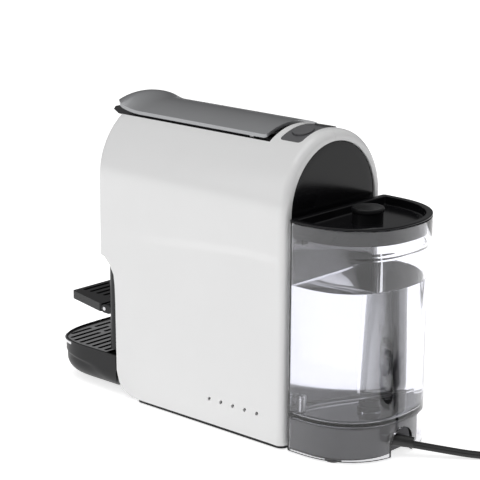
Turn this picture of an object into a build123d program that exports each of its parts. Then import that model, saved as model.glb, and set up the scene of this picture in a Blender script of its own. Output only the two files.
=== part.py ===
from build123d import *
import os
from math import asin, cos, degrees, pi, radians, sin, sqrt, tan

# Capsule coffee machine. Millimetres, +Z up, cup side to -Y, water tank to +Y.
# Origin: bottom centre of the machine's box, measured without its lead.
os.makedirs("parts", exist_ok=True)


def save(block, name):
    """Label the finished piece and write it as its own file."""
    block.part.label = name
    export_step(block.part, f"parts/{name}.step")


def at_x(x):
    return Plane.YZ.offset(x)


def at_y(y):
    return Plane.XZ.offset(-y)


def at_z(z):
    return Plane.XY.offset(z)


# ---------------------------------------------------------------- driving dimensions
HALF_WIDTH = 55.5
LENGTH = 326.0
FRONT = -LENGTH / 2
REAR = LENGTH / 2
SHELL_TOP = 230.4
ARCH_Z = SHELL_TOP - HALF_WIDTH
SHELL_WALL = 2.5
SHELL_BOTTOM = 3.0
SHELL_REAR = 90.0
SHELL_FRONT = -99.0
LOWER_FRONT = -83.0
OVERHANG_Z = 113.0
RIM_WIDTH = 8.3
RIM_DEPTH = 3.0

LEVER_HALF = 29.7
LEVER_CREST = 231.4
LEVER_BOW = 76.5
LEVER_SKIN = 2.6
LEVER_TAIL = 49.5
LEVER_NOSE = -118.0
PIVOT_Y = 34.0
PIVOT_Z = 220.5
PIN_RADIUS = 2.5
RUNNING = 0.05

GEAR_RADIUS = 18.0
GEAR_TEETH = 20
GEAR_PITCH = 2 * pi * GEAR_RADIUS / GEAR_TEETH
LEVER_RANGE = 88.0
BREW_TRAVEL = GEAR_RADIUS * radians(LEVER_RANGE)
BREW_AXIS_Z = 183.0

PANEL_HALF = 27.0
PANEL_FRONT = 60.0
PANEL_REAR = 80.0
BRIDGE_FRONT = 53.9
BUTTON_X = 12.5
BUTTON_RADIUS = 8.0

TANK_FRONT = 92.8
TANK_HALF = 54.5
TANK_WALL = 2.5
TANK_CORNER = 45.0
COLLAR_STEP = 3.5
SHOULDER_Z = 151.0
COLLAR_Z = 154.5
TANK_TOP = 172.4
TANK_FLOOR = 30.0
FLOOR_SKIN = 2.4
SKIRT_BOTTOM = 1.5
LID_TOP = 174.3
KNOB_RADIUS = 12.0
TANK_AXIS_Y = 121.0

TRAY_HALF = 54.0
TRAY_INNER_HALF = 51.5
TRAY_BOTTOM = 3.8
TRAY_TOP = 33.0
TRAY_BACK = 3.0
TRAY_WALL = 2.0
GRILLE_TOP = 31.7

COLUMN_FRONT = -98.0
COLUMN_HALF = 50.8
COLUMN_BOTTOM = 36.2
COLUMN_TOP = 112.0
BIN_HALF = 44.0
BIN_TOP = 104.0
BIN_BACK = 2.0

PLATFORM_TOP = 69.7
PLATFORM_THICK = 6.6
PLATFORM_FRONT = -150.8
HINGE_Y = -102.8
HINGE_Z = PLATFORM_TOP - PLATFORM_THICK / 2
HINGE_RADIUS = PLATFORM_THICK / 2

CORD_DIAMETER = 7.0


def arch_face(half, bottom):
    """Straight-sided arch with a half-round top, drawn in an upright plane across the machine."""
    with BuildSketch(Plane.XY) as face:
        with Locations((0, ARCH_Z)):
            Circle(half)
        with Locations((0, (ARCH_Z + bottom) / 2)):
            Rectangle(2 * half, ARCH_Z - bottom)
    return face.sketch


def tank_face(half, front, rear, corner):
    """Flat side towards the machine, two large round corners at the rear."""
    with BuildSketch(Plane.XY) as face:
        with Locations((0, (front + rear) / 2)):
            Rectangle(2 * half, rear - front)
        fillet(face.vertices().group_by(Axis.Y)[-1], corner)
    return face.sketch


def on(face, plane):
    return plane * face


# ---------------------------------------------------------------- shell halves
with BuildSketch(at_x(-HALF_WIDTH - 5)) as shell_side:
    with BuildLine():
        Polyline(
            (SHELL_REAR, SHELL_BOTTOM),
            (LOWER_FRONT, SHELL_BOTTOM),
            (LOWER_FRONT, OVERHANG_Z - 17),
            (SHELL_FRONT + 4, OVERHANG_Z),
            (SHELL_FRONT, OVERHANG_Z),
            (SHELL_FRONT, SHELL_TOP + 5),
            (SHELL_REAR, SHELL_TOP + 5),
            close=True,
        )
    make_face()
    fillet(shell_side.vertices().sort_by_distance((0, LOWER_FRONT, SHELL_BOTTOM))[0], 18)
    fillet(shell_side.vertices().sort_by_distance((0, LOWER_FRONT, OVERHANG_Z - 17))[0], 12)

with BuildPart() as tunnel:
    extrude(on(arch_face(HALF_WIDTH, SHELL_BOTTOM), at_y(SHELL_FRONT)), amount=SHELL_FRONT - SHELL_REAR)
    extrude(on(arch_face(HALF_WIDTH - SHELL_WALL, SHELL_BOTTOM), at_y(SHELL_FRONT)),
            amount=SHELL_FRONT - SHELL_REAR + RIM_DEPTH, mode=Mode.SUBTRACT)
    extrude(on(arch_face(HALF_WIDTH - RIM_WIDTH, SHELL_BOTTOM), at_y(SHELL_REAR)),
            amount=2 * RIM_DEPTH, both=True, mode=Mode.SUBTRACT)
    extrude(shell_side.sketch, amount=2 * HALF_WIDTH + 10, mode=Mode.INTERSECT)
    with BuildSketch(at_z(SHELL_TOP - 25)):
        lever_length = BRIDGE_FRONT - SHELL_FRONT + 10
        with Locations((0, BRIDGE_FRONT - lever_length / 2)):
            Rectangle(2 * LEVER_HALF + 2, lever_length)
        with Locations((0, (PANEL_FRONT + PANEL_REAR) / 2)):
            RectangleRounded(2 * PANEL_HALF + 0.6, PANEL_REAR - PANEL_FRONT, 3)
    extrude(amount=40, mode=Mode.SUBTRACT)
    with Locations(*[(side * 49, y, 9.5) for side in (-1, 1) for y in (20, 75)]):
        Box(8.6, 8, 13)
    with Locations(*[(side * 47.5, y, SHELL_BOTTOM) for side in (-1, 1) for y in (20, 75)]):
        Hole(radius=1.6, depth=12)

for half_name, kept in (("right_shell", Keep.TOP), ("left_shell", Keep.BOTTOM)):
    with BuildPart() as half_shell:
        add(tunnel.part)
        split(bisect_by=Plane.YZ, keep=kept)
    save(half_shell, half_name)

# ---------------------------------------------------------------- rear panel, base plate, feet, screws
HOSE_Z = 12.0
with BuildPart() as rear_panel:
    panel_face = arch_face(HALF_WIDTH - RIM_WIDTH - 0.2, SHELL_BOTTOM + 0.5)
    extrude(on(panel_face, at_y(SHELL_REAR - 3.5)), amount=-2.5)
    with BuildSketch(at_y(SHELL_REAR)):
        with Locations((0, HOSE_Z)):
            Circle(5)
    extrude(amount=5, mode=Mode.SUBTRACT)
save(rear_panel, "rear_panel")

FOOT_SPOTS = [(side * 42, y) for side in (-1, 1) for y in (-52, 128)]
SCREW_SPOTS = [(side * 47.5, y) for side in (-1, 1) for y in (20, 75)]
PLATE_BOTTOM = 1.0
with BuildPart() as base_plate:
    with BuildSketch(at_z(PLATE_BOTTOM)):
        with Locations((0, 14)):
            RectangleRounded(2 * (HALF_WIDTH - 0.8), 152, 6)
    extrude(amount=SHELL_BOTTOM - PLATE_BOTTOM)
    extrude(on(tank_face(47, SHELL_REAR - 4, 149, 38), at_z(PLATE_BOTTOM)), amount=SHELL_BOTTOM - PLATE_BOTTOM)
    with Locations(*[(x, y, PLATE_BOTTOM) for x, y in SCREW_SPOTS]):
        Hole(radius=1.8, depth=5)
        Cylinder(3.2, 2.4)
        Cylinder(3.4, 2.4, mode=Mode.SUBTRACT)
save(base_plate, "base_plate")

with BuildPart() as feet:
    with BuildSketch():
        with Locations(*FOOT_SPOTS):
            Circle(6)
    extrude(amount=PLATE_BOTTOM)
save(feet, "feet")

with BuildPart() as case_screws:
    with BuildSketch(at_z(PLATE_BOTTOM + 0.3)):
        with Locations(*SCREW_SPOTS):
            Circle(3)
    extrude(amount=0.85)
    with BuildSketch(at_z(PLATE_BOTTOM + 1)):
        with Locations(*SCREW_SPOTS):
            Circle(1.5)
    extrude(amount=11)
save(case_screws, "case_screws")

# ---------------------------------------------------------------- bay frame
DECK_Z = 33.6
DECK_THICK = 1.9
RAIL_INNER = 46.5
RAIL_THICK = 2.0
BAY_BACK = 5.0
BAY_FRONT = -78.0
BAY_TOP = 108.0
with BuildPart() as bay_frame:
    deck_centre = (BAY_FRONT + BAY_BACK) / 2
    deck_length = BAY_BACK - BAY_FRONT
    with BuildSketch(at_z(DECK_Z)):
        with Locations((0, deck_centre)):
            Rectangle(2 * (HALF_WIDTH - SHELL_WALL - 0.5), deck_length)
        with Locations((0, -35)):
            Rectangle(60, 50, mode=Mode.SUBTRACT)
    extrude(amount=DECK_THICK)
    with BuildSketch(at_z(DECK_Z)):
        with Locations(*[(side * (RAIL_INNER + RAIL_THICK / 2), deck_centre) for side in (-1, 1)]):
            Rectangle(RAIL_THICK, deck_length)
    extrude(amount=BAY_TOP - DECK_Z)
    with BuildSketch(at_z(BAY_TOP)):
        with Locations((0, deck_centre)):
            Rectangle(2 * (RAIL_INNER + RAIL_THICK), deck_length)
        with Locations((0, -36)):
            Rectangle(48, 58, mode=Mode.SUBTRACT)
    extrude(amount=RAIL_THICK)
    with BuildSketch(at_y(BAY_BACK + 2.5)):
        with Locations((0, (SHELL_BOTTOM + BAY_TOP + RAIL_THICK) / 2)):
            Rectangle(2 * (RAIL_INNER + RAIL_THICK), BAY_TOP + RAIL_THICK - SHELL_BOTTOM)
    extrude(amount=2.5)
    for shelf_z in (52.0, 106.0):
        with BuildSketch(at_z(shelf_z)):
            with Locations((0, BAY_BACK + 16)):
                Rectangle(60, 30)
            with Locations((0, 45)):
                Circle(23.2, mode=Mode.SUBTRACT)
        extrude(amount=4)
save(bay_frame, "bay_frame")

# ---------------------------------------------------------------- used-capsule container with the column front
with BuildPart() as container:
    with BuildSketch(at_z(COLUMN_BOTTOM)):
        with Locations((0, (COLUMN_FRONT - 80) / 2)):
            Rectangle(2 * COLUMN_HALF, 18)
    extrude(amount=COLUMN_TOP - COLUMN_BOTTOM)
    fillet(container.edges().filter_by(Axis.Z).group_by(Axis.Y)[0], 8)
    with BuildSketch(at_z(COLUMN_BOTTOM + 2.5)):
        with Locations((0, -86.5)):
            Rectangle(2 * (COLUMN_HALF - 3), 18)
    extrude(amount=COLUMN_TOP - COLUMN_BOTTOM - 5, mode=Mode.SUBTRACT)
    with BuildSketch(at_z(COLUMN_BOTTOM)):
        with Locations((0, (BIN_BACK - 92) / 2)):
            Rectangle(2 * BIN_HALF, BIN_BACK + 92)
    extrude(amount=BIN_TOP - COLUMN_BOTTOM)
    with BuildSketch(at_z(COLUMN_BOTTOM + 2)):
        with Locations((0, (BIN_BACK - 90) / 2 - 1)):
            Rectangle(2 * BIN_HALF - 4, BIN_BACK + 90 - 2)
    extrude(amount=BIN_TOP - COLUMN_BOTTOM, mode=Mode.SUBTRACT)
    for side in (-1, 1):
        with BuildSketch(at_x(side * 46.8)):
            with Locations(((COLUMN_FRONT + HINGE_Y) / 2, HINGE_Z)):
                SlotOverall(COLUMN_FRONT - HINGE_Y + 2 * HINGE_RADIUS, 2 * HINGE_RADIUS)
            with Locations((HINGE_Y, HINGE_Z)):
                Circle(1.5 + RUNNING, mode=Mode.SUBTRACT)
        extrude(amount=side * 1.8)
save(container, "capsule_container")

# ---------------------------------------------------------------- cup platform and its hinge
EAR_X = 48.6
BARREL_HALF = 46.0
PLATFORM_ROOT = HINGE_Y - HINGE_RADIUS - 0.6
with BuildPart() as cup_platform:
    with BuildSketch(at_z(PLATFORM_TOP - PLATFORM_THICK)):
        with BuildLine():
            Polyline((-48.5, PLATFORM_ROOT), (48.5, PLATFORM_ROOT), (38, PLATFORM_FRONT),
                     (-38, PLATFORM_FRONT), close=True)
        make_face()
    extrude(amount=PLATFORM_THICK)
    fillet(cup_platform.edges().filter_by(Axis.Z), 2)
    with BuildSketch(at_z(PLATFORM_TOP)):
        for row in range(5):
            for side in (-1, 1):
                with Locations((side * 16.5, PLATFORM_ROOT - 8 - 7.6 * row)):
                    SlotOverall(29, 3.4)
    extrude(amount=-PLATFORM_THICK, mode=Mode.SUBTRACT)
    with BuildSketch(at_x(-BARREL_HALF)):
        with Locations((HINGE_Y, HINGE_Z)):
            Circle(HINGE_RADIUS)
    extrude(amount=2 * BARREL_HALF)
    with BuildSketch(at_x(-BARREL_HALF + 4)):
        with Locations((HINGE_Y - HINGE_RADIUS, HINGE_Z)):
            Rectangle(HINGE_RADIUS * 2, PLATFORM_THICK - 1.6)
    extrude(amount=2 * BARREL_HALF - 8)
    with BuildSketch(at_x(-BARREL_HALF - 1)):
        with Locations((HINGE_Y, HINGE_Z)):
            Circle(1.5 + RUNNING)
    extrude(amount=2 * BARREL_HALF + 2, mode=Mode.SUBTRACT)
save(cup_platform, "cup_platform")

with BuildPart() as platform_pin:
    with BuildSketch(at_x(-EAR_X)):
        with Locations((HINGE_Y, HINGE_Z)):
            Circle(1.5)
    extrude(amount=2 * EAR_X)
save(platform_pin, "platform_pin")

# ---------------------------------------------------------------- drip tray and grille
TRAY_CORNER = 28.0
GRILLE_THICK = 2.0
LEDGE_Z = GRILLE_TOP - GRILLE_THICK - 0.1


def tray_face(inset, back):
    """Rounded front, a wide part ahead of the shell and a narrower part inside it."""
    wide_back = LOWER_FRONT - 1 - inset
    front = FRONT + inset
    with BuildSketch(Plane.XY) as face:
        with Locations((0, (front + wide_back) / 2)):
            Rectangle(2 * (TRAY_HALF - inset), wide_back - front)
        fillet(face.vertices().group_by(Axis.Y)[0], TRAY_CORNER - inset)
        with Locations((0, (wide_back - 5 + back) / 2)):
            Rectangle(2 * (TRAY_INNER_HALF - inset), back - wide_back + 5)
    return face.sketch


def tray_half(y, inset):
    """Half width of the tray's plan at a given y, inside a margin."""
    reach = FRONT + TRAY_CORNER - y
    if reach <= 0:
        return TRAY_HALF - inset
    return TRAY_HALF - TRAY_CORNER + sqrt((TRAY_CORNER - inset) ** 2 - reach**2)


with BuildPart() as tray_room:
    extrude(on(tray_face(3.0, TRAY_BACK - 3), at_z(TRAY_BOTTOM + 2)), amount=TRAY_TOP)
    front_edges = tray_room.faces().sort_by(Axis.Z)[0].edges().filter_by(
        lambda edge: edge.center().Y < LOWER_FRONT - 8)
    fillet(front_edges, 10)
    extrude(on(tray_face(1.2, TRAY_BACK - 1.2), at_z(LEDGE_Z)), amount=TRAY_TOP)

with BuildPart() as drip_tray:
    extrude(on(tray_face(0, TRAY_BACK), at_z(TRAY_BOTTOM)), amount=TRAY_TOP - TRAY_BOTTOM)
    front_edges = drip_tray.faces().sort_by(Axis.Z)[0].edges().filter_by(
        lambda edge: edge.center().Y < LOWER_FRONT - 5)
    fillet(front_edges, 12)
    add(tray_room.part, mode=Mode.SUBTRACT)
save(drip_tray, "drip_tray")

SLOT_PITCH = 7.2
SLOT_WIDTH = 3.4
GRILLE_BACK = COLUMN_FRONT - 1.5
# The grille stops ahead of the capsule container, so it lifts straight out past it.
with BuildSketch(Plane.XY) as grille_plan:
    add(tray_face(1.6, GRILLE_BACK))
    with Locations((0, (FRONT + GRILLE_BACK) / 2)):
        Rectangle(2 * TRAY_HALF, GRILLE_BACK - FRONT, mode=Mode.INTERSECT)
with BuildPart() as drip_grille:
    extrude(on(grille_plan.sketch, at_z(GRILLE_TOP - GRILLE_THICK)), amount=GRILLE_THICK)
    with BuildSketch(at_z(GRILLE_TOP)):
        for row in range(8):
            row_y = GRILLE_BACK - 4 - SLOT_PITCH * row
            row_half = tray_half(row_y, 6)
            count = 2 + row % 2
            rib = 4.0
            slot = (2 * row_half - rib * (count - 1)) / count
            for step in range(count):
                with Locations((-row_half + slot / 2 + step * (slot + rib), row_y)):
                    SlotOverall(slot, SLOT_WIDTH)
    extrude(amount=-GRILLE_THICK, mode=Mode.SUBTRACT)
save(drip_grille, "drip_grille")

# ---------------------------------------------------------------- water tank, valve, posts
BODY_HALF = TANK_HALF - 0.3
BODY_REAR = REAR - COLLAR_STEP
BODY_CORNER = TANK_CORNER - 2
ROOM_FRONT = TANK_FRONT + TANK_WALL
FLOOR_UNDER = TANK_FLOOR - FLOOR_SKIN
OUTLET_RADIUS = 6.4

body_plan = tank_face(BODY_HALF, TANK_FRONT, BODY_REAR, BODY_CORNER)
collar_plan = tank_face(TANK_HALF, TANK_FRONT, REAR, TANK_CORNER)
body_room = tank_face(BODY_HALF - TANK_WALL, ROOM_FRONT, BODY_REAR - TANK_WALL, BODY_CORNER - TANK_WALL)
collar_room = tank_face(TANK_HALF - TANK_WALL, ROOM_FRONT, REAR - TANK_WALL, TANK_CORNER - TANK_WALL)
skirt_room = tank_face(BODY_HALF - TANK_WALL, TANK_FRONT - 1, BODY_REAR - TANK_WALL, BODY_CORNER - TANK_WALL)

with BuildPart() as water_tank:
    extrude(on(body_plan, at_z(SKIRT_BOTTOM)), amount=SHOULDER_Z - SKIRT_BOTTOM)
    loft([on(body_plan, at_z(SHOULDER_Z)).faces()[0], on(collar_plan, at_z(COLLAR_Z)).faces()[0]])
    extrude(on(collar_plan, at_z(COLLAR_Z)), amount=TANK_TOP - COLLAR_Z)
    extrude(on(body_room, at_z(TANK_FLOOR)), amount=SHOULDER_Z - TANK_FLOOR, mode=Mode.SUBTRACT)
    loft([on(body_room, at_z(SHOULDER_Z)).faces()[0], on(collar_room, at_z(COLLAR_Z)).faces()[0]],
         mode=Mode.SUBTRACT)
    extrude(on(collar_room, at_z(COLLAR_Z)), amount=TANK_TOP, mode=Mode.SUBTRACT)
    extrude(on(skirt_room, at_z(SKIRT_BOTTOM - 1)), amount=FLOOR_UNDER - SKIRT_BOTTOM + 1, mode=Mode.SUBTRACT)
    with BuildSketch(at_y(TANK_AXIS_Y + 15)):
        with Locations((2, 10)):
            Circle(12)
        with Locations((2, 4)):
            Rectangle(24, 12)
    extrude(amount=-40, mode=Mode.SUBTRACT)
    with BuildSketch(at_z(TANK_FLOOR)):
        with Locations((0, TANK_AXIS_Y)):
            Circle(OUTLET_RADIUS + 2)
    extrude(amount=2.6)
    with BuildSketch(at_z(FLOOR_UNDER)):
        with Locations((0, TANK_AXIS_Y)):
            Circle(OUTLET_RADIUS)
    extrude(amount=10, mode=Mode.SUBTRACT)
save(water_tank, "water_tank")

with BuildPart() as tank_valve:
    with BuildSketch(at_z(FLOOR_UNDER - 0.3)):
        with Locations((0, TANK_AXIS_Y)):
            Circle(OUTLET_RADIUS - RUNNING)
    extrude(amount=5.6)
    with BuildSketch(at_z(FLOOR_UNDER + 5)):
        with Locations((0, TANK_AXIS_Y)):
            Circle(OUTLET_RADIUS - 0.6)
    extrude(amount=5)
    fillet(tank_valve.faces().sort_by(Axis.Z)[-1].edges(), 1)
save(tank_valve, "tank_valve")

with BuildPart() as level_posts:
    with BuildSketch(at_z(TANK_FLOOR)):
        with Locations((40, ROOM_FRONT + 4), (33, ROOM_FRONT + 3)):
            Circle(1.8)
    extrude(amount=12)
save(level_posts, "level_posts")

# ---------------------------------------------------------------- lid, knob, hook
LID_GAP = 0.4
PAN_FLOOR = 168.0
PAN_SKIN = 2.0
LID_SKIRT_Z = 161.0
HOOK_X = 39.8


def lid_plan(inset):
    """The collar's inside, drawn in by a margin."""
    half = TANK_HALF - TANK_WALL - inset
    return tank_face(half, ROOM_FRONT + inset, REAR - TANK_WALL - inset, TANK_CORNER - TANK_WALL - inset)


with BuildPart() as tank_lid:
    extrude(on(lid_plan(LID_GAP), at_z(LID_SKIRT_Z)), amount=TANK_TOP + 0.3 - LID_SKIRT_Z)
    extrude(on(collar_plan, at_z(TANK_TOP + 0.3)), amount=LID_TOP - TANK_TOP - 0.3)
    extrude(on(lid_plan(LID_GAP + 2), at_z(PAN_FLOOR)), amount=LID_TOP, mode=Mode.SUBTRACT)
    extrude(on(lid_plan(LID_GAP + 1.6), at_z(LID_SKIRT_Z)),
            amount=PAN_FLOOR - PAN_SKIN - LID_SKIRT_Z, mode=Mode.SUBTRACT)
save(tank_lid, "tank_lid")

with BuildPart() as lid_knob:
    with BuildSketch(at_z(PAN_FLOOR)):
        with Locations((0, TANK_AXIS_Y)):
            Circle(KNOB_RADIUS)
    extrude(amount=LID_TOP + 4.6 - PAN_FLOOR)
    fillet(lid_knob.faces().sort_by(Axis.Z)[-1].edges(), 1.4)
save(lid_knob, "lid_knob")

with BuildPart() as lid_hook:
    with BuildSketch(at_z(LID_SKIRT_Z)):
        with Locations((HOOK_X, ROOM_FRONT + LID_GAP + 1.2)):
            Rectangle(5.4, 1.6)
    extrude(amount=-6.5)
save(lid_hook, "lid_hook")

# ---------------------------------------------------------------- tank dock, nipple, seal
DOCK_TOP = 26.4
DOCK_SKIN = 3.0
DOCK_HALF = 48.5
DOCK_REAR = 152.5
NIPPLE_HOLE = 9.0
with BuildPart() as tank_dock:
    extrude(on(tank_face(DOCK_HALF, SHELL_REAR + 0.3, DOCK_REAR, 40), at_z(SHELL_BOTTOM)),
            amount=DOCK_TOP - SHELL_BOTTOM)
    extrude(on(tank_face(DOCK_HALF - DOCK_SKIN, SHELL_REAR + 3.3, DOCK_REAR - DOCK_SKIN, 37), at_z(SHELL_BOTTOM)),
            amount=DOCK_TOP - DOCK_SKIN - SHELL_BOTTOM, mode=Mode.SUBTRACT)
    with BuildSketch(at_z(DOCK_TOP)):
        with Locations((0, TANK_AXIS_Y)):
            Circle(NIPPLE_HOLE)
    extrude(amount=-DOCK_SKIN, mode=Mode.SUBTRACT)
    with BuildSketch(at_y(SHELL_REAR + 5)):
        with Locations((0, HOSE_Z)):
            Circle(5)
    extrude(amount=6, mode=Mode.SUBTRACT)
save(tank_dock, "tank_dock")

HOSE_RADIUS = 3.0
NIPPLE_BOTTOM = 19.0
with BuildPart() as tank_nipple:
    with BuildSketch(at_z(DOCK_TOP - DOCK_SKIN - 2)):
        with Locations((0, TANK_AXIS_Y)):
            Circle(12)
    extrude(amount=2)
    with BuildSketch(at_z(NIPPLE_BOTTOM)):
        with Locations((0, TANK_AXIS_Y)):
            Circle(4.5)
    extrude(amount=DOCK_TOP + 0.5 - NIPPLE_BOTTOM)
    with BuildSketch(at_z(NIPPLE_BOTTOM)):
        with Locations((0, TANK_AXIS_Y)):
            Circle(2)
    extrude(amount=10, mode=Mode.SUBTRACT)
save(tank_nipple, "tank_nipple")

with BuildPart() as nipple_seal:
    with BuildSketch(at_z(DOCK_TOP - DOCK_SKIN)):
        with Locations((0, TANK_AXIS_Y)):
            Circle(8)
            Circle(4.7, mode=Mode.SUBTRACT)
    extrude(amount=DOCK_SKIN + 0.8)
save(nipple_seal, "nipple_seal")

# ---------------------------------------------------------------- lever: cover, grip, carrier, pin
BOW_CENTRE = LEVER_CREST - LEVER_BOW
SCOOP_Y = -80.0
SCOOP_RADIUS = 59.0
SCOOP_TURN = 17.7
NOSE_RADIUS = 17.5
NOSE_TURN = 72.0


def bow_z(radius, x):
    return BOW_CENTRE + sqrt(radius**2 - x**2)


with BuildSketch(Plane.XY) as lever_plan:
    with Locations((0, (LEVER_NOSE + LEVER_TAIL) / 2)):
        Rectangle(2 * LEVER_HALF, LEVER_TAIL - LEVER_NOSE)
    fillet(lever_plan.vertices().group_by(Axis.Y)[0], 22)
    fillet(lever_plan.vertices().group_by(Axis.Y)[-1], 3)

with BuildSketch(Plane.XY) as bow:
    bow_half = LEVER_HALF + 1
    skin_under = LEVER_BOW - LEVER_SKIN
    outer_end = bow_z(LEVER_BOW, bow_half)
    inner_end = bow_z(skin_under, bow_half)
    with BuildLine():
        ThreePointArc((-bow_half, outer_end), (0, LEVER_CREST), (bow_half, outer_end))
        Line((bow_half, outer_end), (bow_half, inner_end))
        ThreePointArc((bow_half, inner_end), (0, LEVER_CREST - LEVER_SKIN), (-bow_half, inner_end))
        Line((-bow_half, inner_end), (-bow_half, outer_end))
    make_face()

# The bow runs straight, then curls up into the thumb scoop and over the nose.
with BuildPart() as lever_cover:
    extrude(on(bow.sketch, at_y(LEVER_TAIL + 1)), amount=LEVER_TAIL + 1 - SCOOP_Y)
    revolve(on(bow.sketch, at_y(SCOOP_Y)), axis=Axis((0, SCOOP_Y, LEVER_CREST + SCOOP_RADIUS), (-1, 0, 0)),
            revolution_arc=SCOOP_TURN)
    lean = radians(SCOOP_TURN)
    lift_y = SCOOP_Y - SCOOP_RADIUS * sin(lean)
    lift_z = LEVER_CREST + SCOOP_RADIUS * (1 - cos(lean))
    nose_centre = (0, lift_y - NOSE_RADIUS * sin(lean), lift_z - NOSE_RADIUS * cos(lean))
    revolve(lever_cover.faces().sort_by(Axis.Y)[0], axis=Axis(nose_centre, (1, 0, 0)),
            revolution_arc=NOSE_TURN)
    extrude(on(lever_plan.sketch, at_z(LEVER_CREST - 40)), amount=60, mode=Mode.INTERSECT)
save(lever_cover, "lever_cover")

GRIP_HALF = 26.0
with BuildPart() as lever_grip:
    with BuildSketch(at_x(-GRIP_HALF)):
        with BuildLine():
            Polyline((-84, 219.6), (-107, 219.6), (-112.5, 222.5), (-110.5, 225.2), (-98, 225.2),
                     (-84, 222.6), close=True)
        make_face()
    extrude(amount=2 * GRIP_HALF)
save(lever_grip, "lever_grip")

SECTOR_X = 24.0
SECTOR_THICK = 4.0
TOOTH_BASE = 3.3
TOOTH_HEIGHT = 3.4
TOOTH_SINK = 0.35
TOOTH_FLANK = 75.0
ROOT_RADIUS = GEAR_RADIUS - 1.9
ARM_TOP = 223.0
ARM_BOTTOM = 217.5
with BuildPart() as lever_carrier:
    for side in (-1, 1):
        with BuildSketch(at_x(side * SECTOR_X)):
            with BuildLine():
                sector = CenterArc((PIVOT_Y, PIVOT_Z), ROOT_RADIUS, -116, 124)
                Polyline(sector @ 0, (PIVOT_Y, PIVOT_Z), sector @ 1)
            make_face()
            with Locations((PIVOT_Y, PIVOT_Z)):
                with PolarLocations(GEAR_RADIUS - TOOTH_SINK, 7, start_angle=-108, angular_range=108,
                                    endpoint=True):
                    Trapezoid(TOOTH_BASE, TOOTH_HEIGHT, TOOTH_FLANK, rotation=-90)
                Circle(5.5)
            with Locations(((PIVOT_Y - 84) / 2, (ARM_TOP + ARM_BOTTOM) / 2)):
                Rectangle(PIVOT_Y + 84, ARM_TOP - ARM_BOTTOM)
            with Locations((PIVOT_Y, ARM_TOP + 10)):
                Rectangle(60, 20, mode=Mode.SUBTRACT)
            with Locations((PIVOT_Y, PIVOT_Z)):
                Circle(PIN_RADIUS + RUNNING, mode=Mode.SUBTRACT)
        extrude(amount=side * SECTOR_THICK)
    with BuildSketch(at_z(220.4)):
        with Locations((0, -76)):
            Rectangle(2 * SECTOR_X + 2, 16)
    extrude(amount=2)
save(lever_carrier, "lever_carrier")

with BuildPart() as lever_pin:
    with BuildSketch(at_x(-SECTOR_X - 3.8)):
        with Locations((PIVOT_Y, PIVOT_Z)):
            Circle(PIN_RADIUS)
    extrude(amount=2 * (SECTOR_X + 3.8))
save(lever_pin, "lever_pin")

# ---------------------------------------------------------------- head well under the lever
WELL_FLOOR = 209.0
WELL_HALF = 30.2
WELL_FRONT = -98.4
SLOT_CENTRE_Y = -61.0
EAR_INNER = 17.0
with BuildPart() as head_well:
    with BuildSketch(at_z(WELL_FLOOR)):
        with Locations((0, (WELL_FRONT + 12) / 2)):
            Rectangle(2 * WELL_HALF, 12 - WELL_FRONT)
        with Locations((0, SLOT_CENTRE_Y)):
            RectangleRounded(41, 30, 4, mode=Mode.SUBTRACT)
    extrude(amount=2)
    with BuildSketch(at_z(WELL_FLOOR)):
        with Locations(*[(side * (WELL_HALF - 0.75), (WELL_FRONT + 31) / 2) for side in (-1, 1)]):
            Rectangle(1.5, 31 - WELL_FRONT)
        with Locations((0, WELL_FRONT + 0.9)):
            Rectangle(2 * WELL_HALF, 1.8)
    extrude(amount=8)
    for side in (-1, 1):
        with BuildSketch(at_x(side * EAR_INNER)):
            with BuildLine():
                Polyline((0, WELL_FLOOR + 1), (12, WELL_FLOOR + 1), (PIVOT_Y + 3, PIVOT_Z - 2.5),
                         (PIVOT_Y - 1, PIVOT_Z + 3.6), close=True)
            make_face()
            with Locations((PIVOT_Y, PIVOT_Z)):
                Circle(3.8)
                Circle(PIN_RADIUS + RUNNING, mode=Mode.SUBTRACT)
        extrude(amount=side * 4)
save(head_well, "head_well")

# ---------------------------------------------------------------- brew carriage, outlet screen, cage
PLATE_REAR = -49.0
RAIL_X = 33.0
RAIL_RADIUS = 3.0
RACK_TOP = PIVOT_Z - GEAR_RADIUS - 1.9
RACK_BOTTOM = 192.0
RACK_REAR = 73.0
with BuildPart() as brew_carriage:
    with BuildSketch(at_y(PLATE_REAR)):
        with Locations((0, (164 + 201) / 2)):
            Rectangle(76, 37)
        with Locations((-RAIL_X, BREW_AXIS_Z), (RAIL_X, BREW_AXIS_Z)):
            Circle(RAIL_RADIUS + RUNNING, mode=Mode.SUBTRACT)
    extrude(amount=5)
    for side in (-1, 1):
        with BuildSketch(at_x(side * SECTOR_X)):
            with Locations(((PLATE_REAR + RACK_REAR) / 2, (RACK_BOTTOM + RACK_TOP) / 2)):
                Rectangle(RACK_REAR - PLATE_REAR, RACK_TOP - RACK_BOTTOM)
            rack_spots = [(PIVOT_Y + (step - 1.5) * GEAR_PITCH, RACK_TOP + TOOTH_HEIGHT / 2 - 0.1)
                          for step in range(9)]
            with Locations(*rack_spots):
                Trapezoid(TOOTH_BASE, TOOTH_HEIGHT, TOOTH_FLANK)
        extrude(amount=side * SECTOR_THICK)
    with BuildSketch(at_y(PLATE_REAR - 5)):
        with Locations((0, 176)):
            Circle(5)
    extrude(amount=12)
    with BuildSketch(at_y(PLATE_REAR)):
        with Locations((0, 176)):
            Circle(3)
    extrude(amount=20, mode=Mode.SUBTRACT)
save(brew_carriage, "brew_carriage")

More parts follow.
